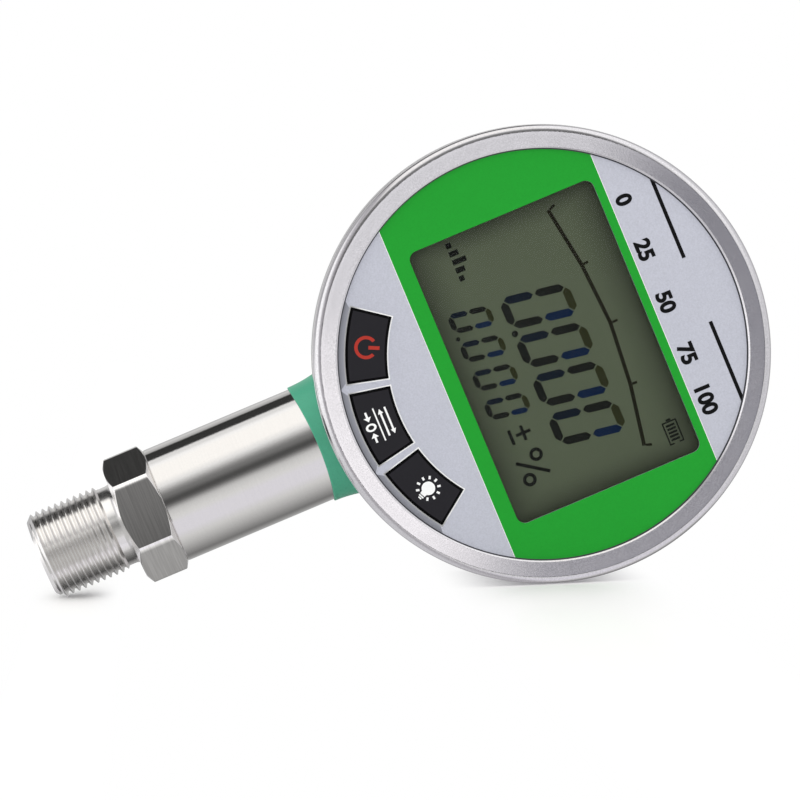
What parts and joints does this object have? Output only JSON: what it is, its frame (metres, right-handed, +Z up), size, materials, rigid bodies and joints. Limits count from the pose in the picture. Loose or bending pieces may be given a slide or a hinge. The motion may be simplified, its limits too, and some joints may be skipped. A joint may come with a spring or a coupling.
{
  "type": "digital pressure gauge",
  "caption": "Round stainless digital pressure gauge with a numeric display, sector push keys and a threaded stem below a hexagon and a rubber boot.",
  "frame": {"origin": "centre of the pressure port's mouth, at the foot of the connection thread", "axes": "+Z up the stem to the dial, -Y out of the dial's face towards the reader, +X to the reader's right"},
  "size_m": [0.1, 0.046, 0.1684],
  "materials": {
    "turned_steel": "turned stainless steel, satin with a fine turning grain",
    "tube_steel": "drawn stainless tube, satin with a fine grain round it",
    "case_steel": "drawn stainless sheet, satin",
    "bezel_steel": "spun stainless ring, bead-blasted front and bright edge",
    "cover_steel": "brushed stainless sheet",
    "sensor_steel": "ground stainless steel",
    "switch_steel": "tinned sheet steel",
    "screw_steel": "plated steel screws",
    "contact_steel": "nickel-plated spring steel",
    "boot_rubber": "soft matt silicone rubber, teal green",
    "seal_rubber": "black nitrile rubber",
    "strip_rubber": "conductive silicone strip",
    "dial_print": "matt printed film, green band on pale grey",
    "panel_plastic": "moulded ABS, fine matt grain",
    "key_plastic": "satin black moulded key",
    "plunger_plastic": "ivory nylon",
    "washer_plastic": "glass-filled nylon",
    "box_plastic": "moulded ABS",
    "holder_plastic": "white moulded plastic",
    "guide_plastic": "diffusing acrylic light guide",
    "clear_window": "clear acrylic window",
    "display_glass": "liquid crystal glass under a polariser, olive grey",
    "board_green": "fibreglass board with solder mask",
    "chip_resin": "moulded epoxy",
    "capacitor_sleeve": "sleeved aluminium can",
    "cell_jacket": "plain printed jacket on a steel can",
    "lead_jacket": "flexible PVC",
    "wire_jacket": "flexible PVC",
    "gilt_pins": "gold-plated pins",
    "insert_brass": "knurled brass"
  },
  "bodies": {
    "gauge_body": {"process_connection": "turned_steel", "stem_tube": "tube_steel", "sensor_capsule": "sensor_steel", "sensor_pins": "gilt_pins", "sensor_seal_ring": "seal_rubber", "sensor_lock_ring": "turned_steel", "sensor_board": "board_green", "sensor_lead": "lead_jacket", "lead_grommet": "seal_rubber", "stem_boot": "boot_rubber", "saddle_washer": "washer_plastic", "stem_nut": "turned_steel", "case_shell": "case_steel", "bezel_ring": "bezel_steel", "panel_gasket": "seal_rubber", "front_panel": "panel_plastic", "face_overlay": "dial_print", "display_window": "clear_window", "display_glass": "display_glass", "light_guide": "guide_plastic", "display_holder": "holder_plastic", "contact_strips": "strip_rubber", "key_switches": "switch_steel", "main_board": "board_green", "board_screws": "screw_steel", "controller_chip": "chip_resin", "lead_socket": "plunger_plastic", "board_capacitors": "capacitor_sleeve", "battery_box": "box_plastic", "battery_cell_1": "cell_jacket", "battery_cell_2": "cell_jacket", "battery_cell_3": "cell_jacket", "battery_springs": "contact_steel", "battery_tabs": "contact_steel", "battery_wires": "wire_jacket", "cover_inserts": "insert_brass", "cover_gasket": "seal_rubber", "rear_cover": "cover_steel", "cover_screws": "screw_steel"},
    "power_key": {"power_key": "key_plastic", "power_plunger": "plunger_plastic"},
    "unit_key": {"unit_key": "key_plastic", "unit_plunger": "plunger_plastic"},
    "light_key": {"light_key": "key_plastic", "light_plunger": "plunger_plastic"}
  },
  "joints": [
    {"name": "power_key_push", "type": "slide", "parent": "gauge_body", "child": "power_key", "axis": [0, 1, 0], "range_m": [0, 0.0005], "stiffness_N_per_m": 1500, "springref_m": -0.0003},
    {"name": "unit_key_push", "type": "slide", "parent": "gauge_body", "child": "unit_key", "axis": [0, 1, 0], "range_m": [0, 0.0005], "stiffness_N_per_m": 1500, "springref_m": -0.0003},
    {"name": "light_key_push", "type": "slide", "parent": "gauge_body", "child": "light_key", "axis": [0, 1, 0], "range_m": [0, 0.0005], "stiffness_N_per_m": 1500, "springref_m": -0.0003}
  ]
}
